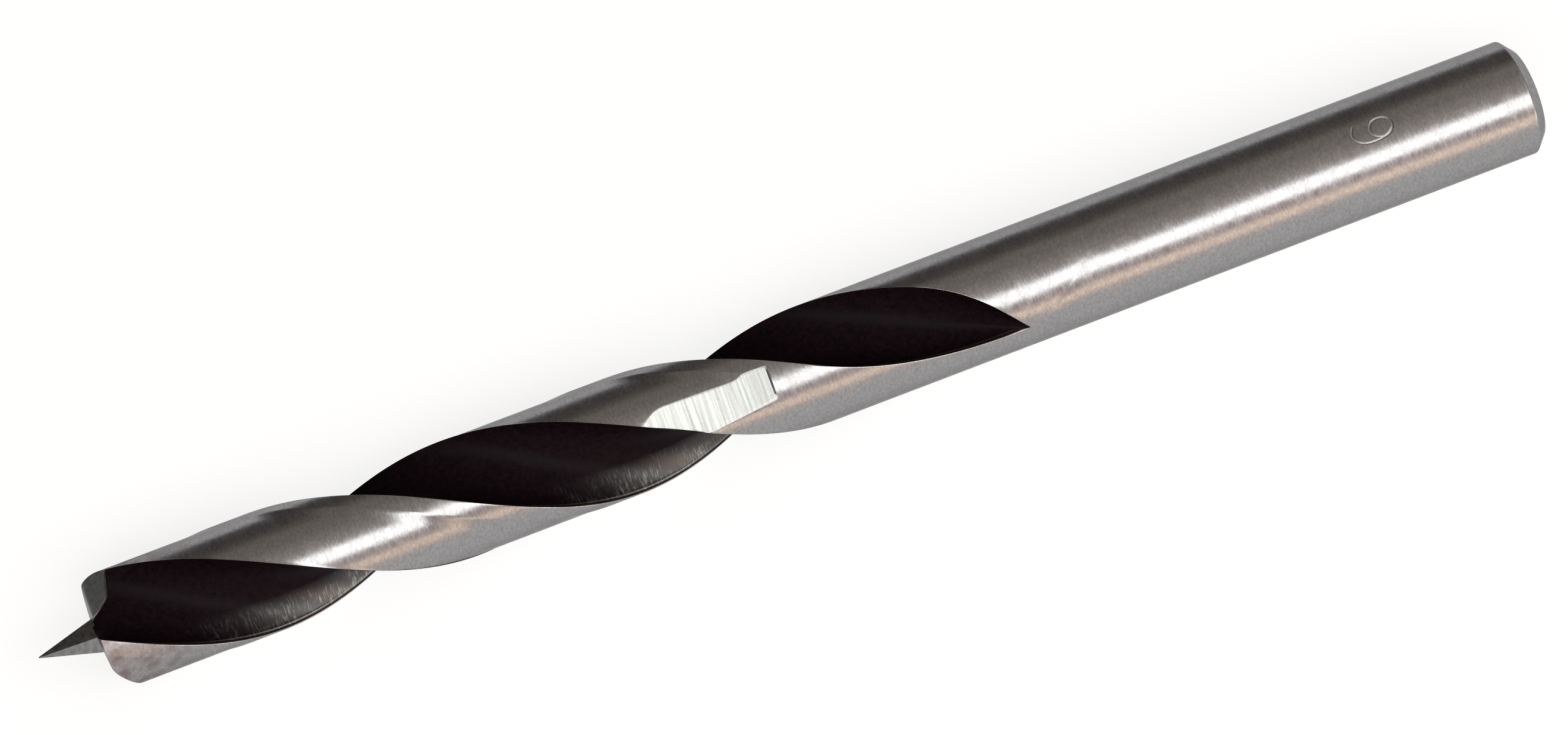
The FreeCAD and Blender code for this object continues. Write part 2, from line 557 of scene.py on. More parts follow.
@dataclass(frozen=True)
class Finish:
    """A finish of the bit.

    Scales are steps for each metre along X, Y and Z. A range that ends in _range is where
    a pattern goes from its first look to its second one.
    """

    material_name: str
    tone_range: Range = (0.35, 0.65)
    rough_range: Range = (0.3, 0.7)

    def material(self) -> bpy.types.Material:
        """Builds the finish's material."""
        raise NotImplementedError


@dataclass(frozen=True)
class GroundSteel(Finish):
    """Bright steel, ground round the axis: fine lines across the bit's length.

    It is stained and duller towards the point, within the share worn_range of the length.
    """

    colour: Colour = (0.335, 0.335, 0.34)
    dark: Colour = (0.255, 0.245, 0.25)
    edge: Colour = (0.55, 0.55, 0.55)
    stained: Colour = (0.17, 0.125, 0.125)
    line_scale: Scale = (9000.0, 1500.0, 1500.0)
    band_scale: Scale = (1500.0, 300.0, 300.0)
    tone_scale: Scale = (6000.0, 3500.0, 3500.0)
    stain_scale: Scale = (900.0, 900.0, 900.0)
    stain_range: Range = (0.42, 0.62)
    stain_share: Range = (0.1, 0.75)
    worn_range: Range = (0.125, 0.050)
    rough_range: Range = (0.75, 1.25)
    rough: Range = (0.19, 0.31)
    worn_rough: float = 0.16
    line_depth: float = 0.0000022

    def material(self) -> bpy.types.Material:
        """Builds the finish's material.

        Returns:
            The material.
        """
        net = Net(self.material_name)
        lines = net.noise(self.line_scale, detail=3.0, rough=0.6)
        bands = net.noise(self.band_scale)
        tone = net.noise(self.tone_scale, detail=3.0, rough=0.7)
        stain = net.spread(net.noise(self.stain_scale), self.stain_range, self.stain_share)
        near = net.spread(net.course("X"), self.worn_range)
        clean_colour = net.mix(net.spread(tone, self.tone_range), self.dark, self.colour)
        colour = net.mix(net.math("MULTIPLY", near, stain), clean_colour, self.stained)
        rough = net.spread(net.math("ADD", lines, bands), self.rough_range, self.rough)
        rough = net.math("ADD", rough, net.math("MULTIPLY", near, self.worn_rough))
        net.dress(colour, rough, 1.0)
        net.join(self.edge, net.shader.inputs["Specular Tint"])
        net.bump(lines, self.line_depth)
        return net.material


@dataclass(frozen=True)
class BlackFlute(Finish):
    """Black oxide in the flutes, with wear from chips in short strokes towards the lip.

    Places across the flute are on the UV map's Y: 0.5 at the heel, 1 at the lip. The wear
    is within across_range of it and along_range of the length, and only below
    sheen_height_range of Object Z. The wear is real; keeping it and the gloss to the lower
    side is a painted sheen, so that only that side shines. The ridge is bare, brightest
    within ridge_core of its width, and painted brighter on that lower side. Past it is a
    brown edge.
    """

    colour: Colour = (0.0030, 0.0020, 0.0030)
    warm: Colour = (0.0095, 0.0040, 0.0060)
    bare: Colour = (0.27, 0.31, 0.30)
    brown: Colour = (0.014, 0.006, 0.007)
    tone_scale: Scale = (2500.0, 2500.0, 2500.0)
    stroke_scale: Scale = (8500.0, 1300.0, 1300.0)
    patch_scale: Scale = (500.0, 500.0, 500.0)
    across_range: Range = (0.80, 0.925)
    along_range: Range = (0.42, 0.48)
    sheen_height_range: Range = (0.0022, 0.0056)
    stroke_range: Range = (0.50, 0.64)
    patch_range: Range = (0.40, 0.58)
    patch_share: Range = (0.05, 1.0)
    ridge: float = 0.938
    ridge_width: float = 0.018
    ridge_core: float = 0.3
    ridge_end: float = 1.6
    ridge_range: Range = (0.35, 0.6)
    ridge_share: Range = (0.25, 0.9)
    ridge_wear_and_sheen: Range = (0.1, 1.0)
    rough: Range = (0.30, 0.44)
    gloss: Range = (0.012, 0.42)
    ior: float = 2.0
    depth: float = 0.000004

    def material(self) -> bpy.types.Material:
        """Builds the finish's material.

        Returns:
            The material.
        """
        net = Net(self.material_name)
        tone = net.noise(self.tone_scale, detail=4.0, rough=0.7)
        strokes = net.noise(self.stroke_scale, detail=3.0, rough=0.65)
        patches = net.spread(net.noise(self.patch_scale), self.patch_range, self.patch_share)
        across = net.course("Y")
        rise = net.spread(across, self.across_range)
        past_range = (self.ridge + self.ridge_width, self.ridge + self.ridge_end * self.ridge_width)
        inside = net.spread(across, past_range, FALL)
        front = net.spread(net.course("X"), self.along_range, FALL)
        # Painted sheen: wear and gloss only on the lower side of the bit, below a height.
        under = net.spread(net.axis(net.place(UNSCALED), "Z"), self.sheen_height_range, FALL)
        front = net.math("MULTIPLY", front, under)
        # This mask is wear near the lip, kept to the lower side as a painted sheen.
        wear_and_sheen = net.math("MULTIPLY", net.math("MULTIPLY", rise, inside), front)
        stroke = net.math("MULTIPLY", net.spread(strokes, self.stroke_range), patches)
        stroke = net.math("MULTIPLY", stroke, wear_and_sheen)
        away = net.math("ABSOLUTE", net.math("SUBTRACT", across, self.ridge))
        line = net.spread(away, (self.ridge_core * self.ridge_width, self.ridge_width), FALL)
        line = net.math("MULTIPLY", line, net.spread(strokes, self.ridge_range, self.ridge_share))
        # The ridge's bare line is brightest on the lower side: a painted highlight.
        line = net.math("MULTIPLY", line, net.spread(front, RISE, self.ridge_wear_and_sheen))
        steel = net.math("MAXIMUM", stroke, line)
        black = net.mix(net.spread(tone, self.tone_range), self.colour, self.warm)
        black = net.mix(net.spread(inside, RISE, FALL), black, self.brown)
        rough = net.spread(tone, self.rough_range, self.rough)
        net.dress(net.mix(steel, black, self.bare), rough, steel)
        # Painted sheen: the gloss follows the same lower-side mask.
        net.join(net.spread(wear_and_sheen, RISE, self.gloss), net.shader.inputs["Specular IOR Level"])
        net.join(self.ior, net.shader.inputs["IOR"])
        net.bump(net.math("ADD", tone, strokes), self.depth)
        return net.material


@dataclass(frozen=True)
class WheelFlat(Finish):
    """The flat mark of the wheel, with coarse lines across the bit."""

    colour: Colour = (0.42, 0.44, 0.425)
    dark: Colour = (0.30, 0.305, 0.30)
    line_scale: Scale = (4200.0, 110.0, 110.0)
    grain_scale: Scale = (7000.0, 3500.0, 3500.0)
    grain_share: float = 0.35
    tone_range: Range = (0.46, 0.88)
    rough: Range = (0.46, 0.34)
    depth: float = 0.000004

    def material(self) -> bpy.types.Material:
        """Builds the finish's material.

        Returns:
            The material.
        """
        net = Net(self.material_name)
        lines = net.noise(self.line_scale, detail=3.0, rough=0.65)
        grain = net.noise(self.grain_scale, rough=0.7)
        tone = net.math("ADD", lines, net.math("MULTIPLY", grain, self.grain_share))
        colour = net.mix(net.spread(tone, self.tone_range), self.dark, self.colour)
        net.dress(colour, net.spread(lines, self.rough_range, self.rough), 1.0)
        net.bump(lines, self.depth)
        return net.material


@dataclass(frozen=True)
class GroundPoint(Finish):
    """The ground end faces and the centre point, duller than the lands."""

    colour: Colour = (0.25, 0.25, 0.25)
    dark: Colour = (0.17, 0.165, 0.165)
    tone_scale: Scale = (2500.0, 2500.0, 600.0)
    rough: Range = (0.3, 0.42)
    depth: float = 0.000002

    def material(self) -> bpy.types.Material:
        """Builds the finish's material.

        Returns:
            The material.
        """
        net = Net(self.material_name)
        tone = net.noise(self.tone_scale, detail=3.0)
        colour = net.mix(net.spread(tone, self.tone_range), self.dark, self.colour)
        net.dress(colour, net.spread(tone, self.rough_range, self.rough), 1.0)
        net.bump(tone, self.depth)
        return net.material


@dataclass(frozen=True)
class Wall:
    """One wall of a flute: an arc from the flute's bottom, where it touches the web.

    Its centre lies on the line from the axis through the bottom, and its opening is the
    angle from the bottom to the edge about that centre, in radians.
    """

    radius: float
    centre: float
    opening: float

    def corner(self) -> float:
        """Angle about the axis from the bottom to the edge, in degrees."""
        across = self.radius * math.sin(self.opening)
        return math.degrees(math.atan2(across, self.centre - self.radius * math.cos(self.opening)))

    def points(self, opening: np.ndarray, side: int, bottom: float,
               swell: float | np.ndarray = 0.0) -> np.ndarray:
        """Finds points on the wall.

        Args:
            opening: angles from the bottom about the centre, in radians.
            side: 1 for the lip's wall, and -1 for the heel's.
            bottom: angle of the bottom in the half section, in degrees.
            swell: how far the wall stands out at each point.

        Returns:
            One row for each point, in the half section.
        """
        radius = self.radius - swell
        across, up = turned(self.centre - radius * np.cos(opening),
                            side * radius * np.sin(opening), bottom)
        return np.stack([across, up], 1)


class Section:
    """One cross-section of the bit, as points around its axis.

    Angles are in degrees behind the nominal leading edge of the land.
    """

    FAR = 80.0
    DEEPEST = 0.96
    EDGE_SHARE = 0.25
    RIDGE_FROM = 0.7
    RIDGE_SHARE = 0.1
    FLAT_REACH = 30.0
    FLAT_STEPS = 601

    def __init__(self, sizes: BitSizes, columns: Columns) -> None:
        """Keeps the sizes of the bit and the columns of half a section."""
        self.sizes = sizes
        self.columns = columns

    def leading_edge(self, s: float) -> float:
        """Angle of the first leading edge at a distance from the point, in degrees."""
        return 360.0 * (s - self.sizes.point_length) / self.sizes.helix_lead

    def closing(self, s: float, length: float) -> float:
        """How far along the flute's last stretch a distance lies, from 0 to 1."""
        return min(1.0, max(0.0, 1.0 - (self.sizes.flute_end - s) / length))

    def edges(self, s: float) -> tuple[float, float, float]:
        """Finds the flute's edges and its bottom, which draw together where it runs out.

        Args:
            s: distance from the point.

        Returns:
            Angles in front of the nominal leading edge of the lip, the bottom and the heel.
        """
        z = self.sizes
        lip = self.closing(s, z.lip_close)
        heel = self.closing(s, z.heel_close)
        full = z.lip_side + z.heel_side
        return (z.close_at * lip ** z.lip_power,
                z.lip_side + (z.close_at - z.lip_side) * lip,
                full - (full - z.close_at) * heel ** z.heel_power)

    def wall(self, s: float, corner_angle: float, widest: float) -> Wall:
        """Finds one wall of the flute.

        Args:
            s: distance from the point.
            corner_angle: from the flute's bottom to the edge.
            widest: the larger one of the two walls' corner angles.

        Returns:
            The wall, which has no opening where the flute has ended.
        """
        z = self.sizes
        bar, web = z.radius, z.web / 2.0
        a = math.radians(corner_angle)
        if a < TINY:
            return Wall(1.0, bar + 1.0, 0.0)
        past = self.closing(s, z.runout)
        top = bar * math.cos(math.radians(widest))
        bottom = web + (top - web) * min(self.DEEPEST, past ** z.runout_power)
        rise = bar * math.cos(a) - bottom
        radius = (rise ** 2 + (bar * math.sin(a)) ** 2) / (2.0 * rise)
        middle = bottom + radius
        cosine = (middle ** 2 + radius ** 2 - bar ** 2) / (2.0 * middle * radius)
        return Wall(radius, middle, math.acos(min(1.0, cosine)))

    def relief_radius(self, s: float, x: np.ndarray) -> np.ndarray:
        """Radius of the relieved land without the flat mark.

        Args:
            s: distance from the point.
            x: angles on the land.

        Returns:
            The radius at each angle, in millimetres.
        """
        z = self.sizes
        low = z.radius - z.relief
        half = math.degrees(math.acos(low / z.radius))
        last = z.relief_turn + (z.relief_end - s) * 360.0 / z.helix_lead
        first = min(z.margin + half, last)
        off = np.where(x < first, first - x, np.where(x > last, x - last, 0.0))
        swept = low / np.cos(np.radians(np.minimum(off, self.FAR)))
        return np.minimum(z.radius, np.where(off < half, swept, z.radius))

    def flat_middle(self, s: float) -> float:
        """Angle of the middle of the flat mark at a distance from the point."""
        z = self.sizes
        return z.flat_turn + (z.relief_end - s) * (360.0 / z.helix_lead + z.flat_swing)

    def flat_radius(self, s: float, x: np.ndarray) -> np.ndarray:
        """Radius of the flat mark of the wheel, which deepens and turns towards the point.

        Args:
            s: distance from the point.
            x: angles on the land.

        Returns:
            The radius of the flat at each angle, in millimetres.
        """
        z = self.sizes
        rise = smooth_step(min(1.0, max(0.0, (s - z.flat_start) / z.flat_fade)))
        depth = (z.flat_depth + z.flat_deepen * (z.relief_end - s)) * rise
        depth -= z.relief * (1.0 - rise)
        off = np.minimum(np.abs(x - self.flat_middle(s)), self.FAR)
        return (z.radius - depth) / np.cos(np.radians(off))

    def land_radius(self, s: float, x: np.ndarray) -> np.ndarray:
        """Radius of the land.

        Args:
            s: distance from the point.
            x: angles on the land.

        Returns:
            The radius at each angle, in millimetres.
        """
        z = self.sizes
        if s > z.relief_end:
            return np.full_like(x, z.radius)
        relief = self.relief_radius(s, x)
        if s <= z.flat_start:
            return relief
        return np.minimum(relief, self.flat_radius(s, x))

    def flat_edges(self, s: float, start: float, end: float) -> tuple[float, float]:
        """Angles between which the flat mark of the wheel lies.

        Args:
            s: distance from the point.
            start: first angle that it may have.
            end: last angle that it may have.

        Returns:
            The flat's two edges, kept between start and end.
        """
        at = min(max(s, self.sizes.flat_first), self.sizes.relief_end)
        middle = self.flat_middle(at)
        x = np.linspace(middle - self.FLAT_REACH, middle + self.FLAT_REACH, self.FLAT_STEPS)
        inside = x[self.flat_radius(at, x) < self.relief_radius(at, x)]
        if len(inside) == 0:
            inside = np.array([middle])
        near, far = float(inside[0]), float(inside[-1])
        return min(max(near, start), end), min(max(far, start), end)

    def land_points(self, s: float, start: float, end: float) -> np.ndarray:
        """Points of the land between its edges.

        Args:
            s: distance from the point.
            start: angle of the first point.
            end: angle of the last point.

        Returns:
            One row for each column, and one for the last point.
        """
        z, c = self.sizes, self.columns
        near, far = self.flat_edges(s, start + z.flat_from_edge, end)
        margin_end = min(max(z.margin, start), near - z.margin_from_flat)
        stops = [start, margin_end, near, far, end]
        counts = [c.margin, c.relief, c.flat, c.heel]
        angles = [np.linspace(a, b, n, endpoint=False)
                  for a, b, n in zip(stops, stops[1:], counts)]
        x = np.concatenate(angles + [[end]])
        r = self.land_radius(s, x)
        return np.stack([r * np.cos(np.radians(x)), r * np.sin(np.radians(x))], 1)

    def lip_steps(self, wall: Wall, last: float) -> tuple[np.ndarray, np.ndarray]:
        """Places of the columns on the lip's wall, and the height of its ridge there.

        Args:
            wall: the lip's wall.
            last: opening at the last column, in radians.

        Returns:
            The opening in radians and the ridge's height, for each column.
        """
        z, c = self.sizes, self.columns
        middle = max(wall.opening - z.ridge_from_edge / wall.radius, self.RIDGE_FROM * last)
        half = min(z.ridge_width / wall.radius, self.RIDGE_SHARE * last)
        steps = np.concatenate([
            np.linspace(0.0, middle - half, c.lip_wall, endpoint=False),
            np.linspace(middle - half, middle + half, c.ridge - 1, endpoint=False),
            [middle + half, last],
        ])
        swell = np.maximum(0.0, 1.0 - np.abs(steps - middle) / max(half, TINY))
        return steps, z.ridge_height * min(1.0, wall.opening) * smooth_step(swell)

    def rim_point(self, angle: float) -> np.ndarray:
        """Point of the bar's circle at an angle."""
        a = math.radians(angle)
        return self.sizes.radius * np.array([math.cos(a), math.sin(a)])

    def half(self, s: float) -> tuple[np.ndarray, np.ndarray]:
        """Points of one land and the flute behind it.

        Args:
            s: distance from the point.

        Returns:
            The points' coordinates, one more than there are columns, so that the last
            point is the first of the next half.
        """
        z, c = self.sizes, self.columns
        lip_angle, low, heel_angle = self.edges(s)
        widest = max(low - lip_angle, heel_angle - low)
        lip = self.wall(s, low - lip_angle, widest)
        heel = self.wall(s, heel_angle - low, widest)
        bottom = 180.0 - low
        lip_edge = min(z.edge_round, self.EDGE_SHARE * lip.radius * lip.opening)
        heel_edge = min(z.heel_round, self.EDGE_SHARE * heel.radius * heel.opening)
        start, end = lip.corner() - low, bottom - heel.corner()
        land = self.land_points(s, start + math.degrees(lip_edge / z.radius),
                                end - math.degrees(heel_edge / z.radius))
        heel_steps = np.linspace(heel.opening - heel_edge / heel.radius, 0.0, c.heel_wall,
                                 endpoint=False)
        heel_wall = heel.points(heel_steps, -1, bottom)
        lip_steps, swell = self.lip_steps(lip, lip.opening - lip_edge / lip.radius)
        lip_wall = lip.points(lip_steps, 1, bottom, swell)
        low_share = float(self.land_radius(s, np.array([end]))[0]) / z.radius
        heel_tip = self.rim_point(end) * low_share
        lip_tip = self.rim_point(180.0 + start)
        points = np.concatenate([
            land,
            bend(land[-1], heel_tip, heel_wall[0], np.arange(1, c.heel_edge) / c.heel_edge),
            heel_wall,
            lip_wall,
            bend(lip_wall[-1], lip_tip, -land[0], np.arange(1, c.lip_edge) / c.lip_edge),
            [-land[0]],
        ])
        return points[:, 0], points[:, 1]


class DrillBit:
    """The drill bit: one bar with its flutes, lands, point, shank and number."""

    NAME = "bit_steel"
    SHORTEST = 0.0003
    NEAR = 0.01
    EDGE_STEPS = 5
    FACING = 0.9
    SLANTING = 0.5

    def __init__(self, sizes: BitSizes, columns: Columns, finishes: list[Finish]) -> None:
        """Keeps the sizes, the number of columns and the finishes.

        Args:
            sizes: the sizes of the bit.
            columns: the columns of half a section.
            finishes: one finish for each Surface, in its order.
        """
        self.sizes = sizes
        self.columns = columns
        self.finishes = finishes
        self.rings = Rings()
        self.section = Section(sizes, columns)
        self.point = PointShape()
        self.number = StampedNine()

    def stations(self) -> np.ndarray:
        """Distances from the point at which the bar has its rings.

        Returns:
            The distances, from the point to the shank's chamfer.
        """
        z, r = self.sizes, self.rings
        step_at = z.relief_end - z.step
        body = np.arange(z.point_length, step_at - r.before_step, r.step)
        rest = np.arange(z.relief_end + r.after_step, z.flute_end - r.close_length, r.step)
        share = (1.0 - np.linspace(0.0, 1.0, r.close_count)) ** r.close_power
        close = z.flute_end - r.close_length * share
        shank = np.linspace(z.flute_end + r.shank_start, z.length - z.chamfer_length - r.shank_end,
                            r.shank_count)
        return np.concatenate([body, [step_at], rest, close, shank])

    def ring(self, s: float) -> np.ndarray:
        """Points of a whole section in the build position.

        Args:
            s: distance from the point.

        Returns:
            An array of points across the axis, one more than there are columns.
        """
        z, count = self.sizes, 2 * self.columns.half
        at = min(s, z.flute_end)
        x, y = self.section.half(at)
        x = np.concatenate([x[:-1], -x])
        y = np.concatenate([y[:-1], -y])
        px, py = turned(x, y, self.section.leading_edge(at))
        if s > z.flute_end:
            own = np.unwrap(np.arctan2(py, px))
            even = own[0] + 2.0 * math.pi * np.arange(count + 1) / count
            even += float(np.mean(own - even))
            share = smooth_step(min(1.0, (s - z.flute_end) / self.rings.even_length))
            angle = own * (1.0 - share) + even * share
            px, py = z.radius * np.cos(angle), z.radius * np.sin(angle)
        return np.stack([px, py], 1)

    def surface_points(self, stations: np.ndarray) -> np.ndarray:
        """Points of the bar's side, from the rim of its end faces to its last ring.

        Near the point the rings lean over, so that the first one lies on the end faces.

        Args:
            stations: distances of the rings from the point.

        Returns:
            Points for each ring and column, in the build position.
        """
        z, r = self.sizes, self.rings
        front = np.arange(r.table_start, z.end_blend + 0.5 * r.table_step, r.table_step)
        table = np.stack([self.ring(s) for s in front])
        columns = np.arange(table.shape[1])

        def at(heights: np.ndarray) -> np.ndarray:
            """Reads the table at each column's own height.

            Args:
                heights: a distance from the point for each column.

            Returns:
                The point of each column there.
            """
            step = (heights - front[0]) / (front[1] - front[0])
            low = np.clip(step.astype(int), 0, len(front) - 2)
            share = (step - low)[:, None]
            return table[low, columns] * (1.0 - share) + table[low + 1, columns] * share

        rim = np.full(len(columns), z.point_length)
        for _ in range(r.settle_rounds):
            rim = 0.5 * rim + 0.5 * self.point.height(at(rim))
        points = []
        for s in stations:
            if s < z.end_blend:
                share = (s - stations[0]) / (z.end_blend - stations[0])
                heights = rim + (z.end_blend - rim) * share
                across = at(heights)
            else:
                heights = np.full(len(columns), s)
                across = self.ring(s)
            points.append(np.column_stack([across, heights]))
        return np.stack(points)

    def surface_of(self, column: np.ndarray, s: np.ndarray) -> np.ndarray:
        """Finish of each face of the bar.

        Args:
            column: the face's column.
            s: distance of the face from the point.

        Returns:
            A material index for each face.
        """
        z, c = self.sizes, self.columns
        place = column % c.half
        result = np.full(len(column), int(Surface.GROUND))
        flute = (place >= c.land + c.heel_edge // 2) & (place < c.half - c.lip_edge)
        result[flute & (s < z.flute_end)] = Surface.FLUTE
        near = c.margin + c.relief
        flat = (place >= near) & (place < near + c.flat)
        result[flat & (s > z.flat_first) & (s < z.relief_end)] = Surface.FLAT
        return result

    def roll_grid(self, stations: np.ndarray) -> bpy.types.Object:
        """Rolls a grid to the bar's side, with its finishes and its UV map.

        Args:
            stations: distances of the rings from the point.

        Returns:
            The bar's side in the build position, open at its seam and at both ends.
        """
        c = self.columns
        across, along = 2 * c.half, len(stations) - 1
        deselect()
        bpy.ops.mesh.primitive_grid_add(x_subdivisions=across, y_subdivisions=along, size=1.0)
        piece = bpy.context.object
        piece.name = self.NAME
        mesh = piece.data
        mesh.name = self.NAME
        for finish in self.finishes:
            mesh.materials.append(finish.material())
        start = np.empty(len(mesh.vertices) * 3)
        mesh.vertices.foreach_get("co", start)
        start = start.reshape(-1, 3)
        column = np.rint((start[:, 0] + 0.5) * across).astype(int)
        row = np.rint((start[:, 1] + 0.5) * along).astype(int)
        mesh.vertices.foreach_set("co", self.surface_points(stations)[row, column].ravel())

        loops = np.empty(len(mesh.loops), int)
        mesh.loops.foreach_get("vertex_index", loops)
        starts = np.empty(len(mesh.polygons), int)
        mesh.polygons.foreach_get("loop_start", starts)
        face_columns = np.minimum.reduceat(column[loops], starts)
        face_rows = np.minimum.reduceat(row[loops], starts)
        middle = (stations[face_rows] + stations[np.minimum(face_rows + 1, along)]) / 2.0
        mesh.polygons.foreach_set("material_index", self.surface_of(face_columns, middle))

        sizes = np.diff(np.append(starts, len(loops)))
        face_of_loop = np.repeat(np.arange(len(starts)), sizes)
        base = face_columns[face_of_loop] // c.half * c.half
        share = self.across_share()[column[loops] - base]
        uv = np.column_stack([stations[row[loops]] / self.sizes.length, share])
        layer = mesh.uv_layers.active or mesh.uv_layers.new(name=COURSE)
        layer.name = COURSE
        layer.data.foreach_set("uv", uv.ravel())
        mesh.update()
        return piece

    def build(self) -> bpy.types.Object:
        """Builds the bit's mesh.

        Returns:
            The finished object, at its place in its mesh.
        """
        piece = self.roll_grid(self.stations())
        clean(piece, self.SHORTEST)
        self.add_shank_end(piece)
        self.close_end_faces(piece)
        self.add_brad(piece)
        self.stamp_number(piece)
        self.lay_down(piece)
        pick(piece)
        bpy.ops.object.shade_smooth_by_angle(angle=math.radians(self.sizes.smooth_angle))
        return piece

    def across_share(self) -> np.ndarray:
        """Place of each column across its half, for the UV map.

        Returns:
            A share for each column: up to 0.5 on the land, and past it in the flute.
        """
        c = self.columns
        land = np.linspace(0.0, 0.5, c.land, endpoint=False)
        return np.concatenate([land, np.linspace(0.5, 1.0, c.half - c.land + 1)])

    def shank_profile(self) -> np.ndarray:
        """Outline of the shank's end: the chamfer, its two broken edges and the end face.

        Returns:
            Distances from the point, and radii.
        """
        z, soft, rings = self.sizes, self.sizes.chamfer_break, self.rings
        slope = math.atan2(z.chamfer_depth, z.chamfer_length)
        start = np.array([z.length - z.chamfer_length, z.radius])
        end = np.array([z.length, z.radius - z.chamfer_depth])
        along = soft * np.array([math.cos(slope), -math.sin(slope)])
        shares = np.linspace(0.0, 1.0, self.EDGE_STEPS)
        middle = [start + (z.chamfer_length * t, -z.chamfer_depth * t)
                  for t in rings.chamfer_shares]
        face = [(z.length, (end[1] - soft) * t) for t in rings.end_shares]
        return np.vstack([bend(start - (soft, 0.0), start, start + along, shares), middle,
                          bend(end - along, end, end - (0.0, soft), shares), face])

    def add_shank_end(self, piece: bpy.types.Object) -> None:
        """Extrudes the shank's chamfer, with broken edges, and closes its end.

        Args:
            piece: the open bar.
        """
        rim = float(self.stations()[-1])
        pick(piece)
        bpy.ops.object.mode_set(mode="EDIT")
        select_where(piece, "EDGE", lambda edge: edge.is_boundary and all(
            abs(v.co.z - rim) < self.NEAR for v in edge.verts))
        height, radius = rim, self.sizes.radius
        for s, r in self.shank_profile():
            extrude_to(s - height, r / radius, s)
            height, radius = s, r
        bpy.ops.mesh.edge_face_add()
        bpy.ops.object.mode_set(mode="OBJECT")

    def close_end_faces(self, piece: bpy.types.Object) -> None:
        """Closes the end of the bar with the faces of the two lands.

        The open rim is extruded and drawn in to the axis, and each point is then set to
        the height of the end face there.

        Args:
            piece: the bar in its build position.
        """
        z, rings = self.sizes, self.rings.end_count
        pick(piece)
        bpy.ops.object.mode_set(mode="EDIT")
        old = select_where(piece, "EDGE", lambda edge: edge.is_boundary)
        scale = 1.0
        for k in range(1, rings):
            share = 1.0 - k / rings
            extrude_to(0.0, share / scale, z.point_length)
            scale = share
        bpy.ops.mesh.edge_face_add()
        bpy.ops.object.mode_set(mode="OBJECT")
        co = np.empty(len(piece.data.vertices) * 3)
        piece.data.vertices.foreach_get("co", co)
        co = co.reshape(-1, 3)
        new = np.arange(len(co)) >= old
        co[new, 2] = self.point.height(co[new, :2])
        piece.data.vertices.foreach_set("co", co.ravel())
        piece.data.update()
        # The end faces and the faces that face the point get the dark end finish, which is painted
        # shade.
        for face in piece.data.polygons:
            ahead = face.normal.z < -self.SLANTING and face.center.z < z.end_reach
            if min(face.vertices) >= old or ahead:
                face.material_index = Surface.END

    def add_brad(self, piece: bpy.types.Object) -> None:
        """Adds the centre point, a four-sided pyramid with slightly broken edges.

        Args:
            piece: the bar with its end faces.
        """
        z, height = self.sizes, self.sizes.point_length
        deselect()
        bpy.ops.mesh.primitive_cone_add(vertices=4, radius1=z.point_tip / 2.0,
                                        radius2=z.point_base / 2.0, depth=height,
                                        location=(0.0, 0.0, height / 2.0))
        brad = bpy.context.object
        bpy.ops.object.transform_apply(location=True, rotation=True, scale=True)
        bpy.ops.object.mode_set(mode="EDIT")
        select_where(brad, "EDGE", lambda edge: abs(
            edge.verts[0].co.z - edge.verts[1].co.z) > height / 2.0)
        bpy.ops.mesh.bevel(offset=z.brad_edge, segments=2, profile=0.6, clamp_overlap=True)
        select_where(brad, "FACE", lambda face: face.normal.z > self.FACING)
        bpy.ops.mesh.extrude_region_move(TRANSFORM_OT_translate={"value": (0, 0, z.brad_root)})
        bpy.ops.mesh.select_all(action="SELECT")
        bpy.ops.mesh.normals_make_consistent(inside=False)
        bpy.ops.object.mode_set(mode="OBJECT")
        combine(piece, brad, "UNION", Surface.POINT)

    def number_path(self, points: list[tuple[float, float]], closed: bool) -> bpy.types.Object:
        """Makes a round wire that lies on the shank along a smooth path.

        Args:
            points: distances from the point, and angles from the photographed side.
            closed: whether the path runs back to its start.

        Returns:
            The wire as a mesh in the build position.
        """
        z = self.sizes
        deselect()
        bpy.ops.curve.primitive_nurbs_path_add(location=(0.0, 0.0, 0.0))
        wire = bpy.context.object
        spline = wire.data.splines[0]
        spline.points.add(len(points) - len(spline.points))
        radius = z.radius + z.number_lift
        for point, (s, turn) in zip(spline.points, points):
            a = math.radians(turn + z.photo_side)
            point.co = (radius * math.cos(a), radius * math.sin(a), s, 1.0)
        spline.order_u = 3
        spline.resolution_u = 6
        spline.use_endpoint_u = not closed
        spline.use_cyclic_u = closed
        wire.data.bevel_depth = z.number_stroke
        wire.data.bevel_resolution = 4
        wire.data.use_fill_caps = not closed
        bpy.ops.object.convert(target="MESH")
        clean(wire)
        return wire

    def stamp_number(self, piece: bpy.types.Object) -> None:
        """Stamps the size in the shank: a 9 with its top towards the shank end."""
        combine(piece, self.number_path(self.number.loop(), True), "DIFFERENCE", Surface.FLAT)
        combine(piece, self.number_path(self.number.tail, False), "DIFFERENCE", Surface.FLAT)

    def lay_down(self, piece: bpy.types.Object) -> None:
        """Rolls the bit and lays it along X on the floor, in metres.

        Args:
            piece: the bar in its build position.
        """
        z = self.sizes
        place = (Matrix.Translation((-z.length / 2.0 * MM, 0.0, z.radius * MM))
                 @ Matrix.Rotation(math.radians(90.0), 4, "Y")
                 @ Matrix.Rotation(math.radians(z.roll), 4, "Z")
                 @ Matrix.Scale(MM, 4))
        piece.data.transform(place)
        piece.data.update()


